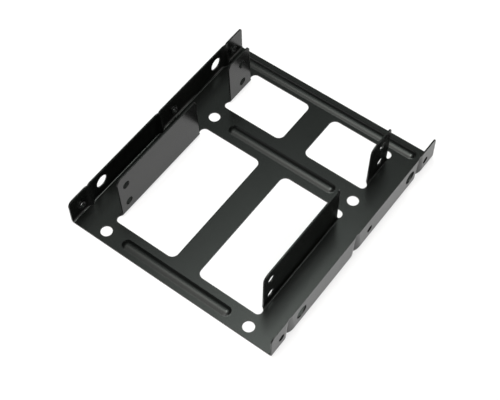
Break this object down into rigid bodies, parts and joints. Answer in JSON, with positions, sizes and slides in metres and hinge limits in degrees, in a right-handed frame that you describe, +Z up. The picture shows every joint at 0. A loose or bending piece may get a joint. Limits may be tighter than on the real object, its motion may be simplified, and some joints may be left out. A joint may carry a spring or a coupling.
{
  "type": "drive bay adapter bracket",
  "caption": "Folded sheet-steel tray that carries small drives in a wider drive bay, with upright drilled tabs, side flanges, windows and pressed stiffening beads.",
  "frame": {"origin": "centre of the footprint, on the flat underside of the base plate", "axes": "+Z up, the way the tabs and flanges stand; +Y from the front rail to the back rail, along the drives; +X to the right across the bay"},
  "size_m": [0.1016, 0.115, 0.0238],
  "materials": {
    "black_paint": "satin black paint"
  },
  "bodies": {
    "root": {"bracket": "black_paint"}
  },
  "joints": []
}
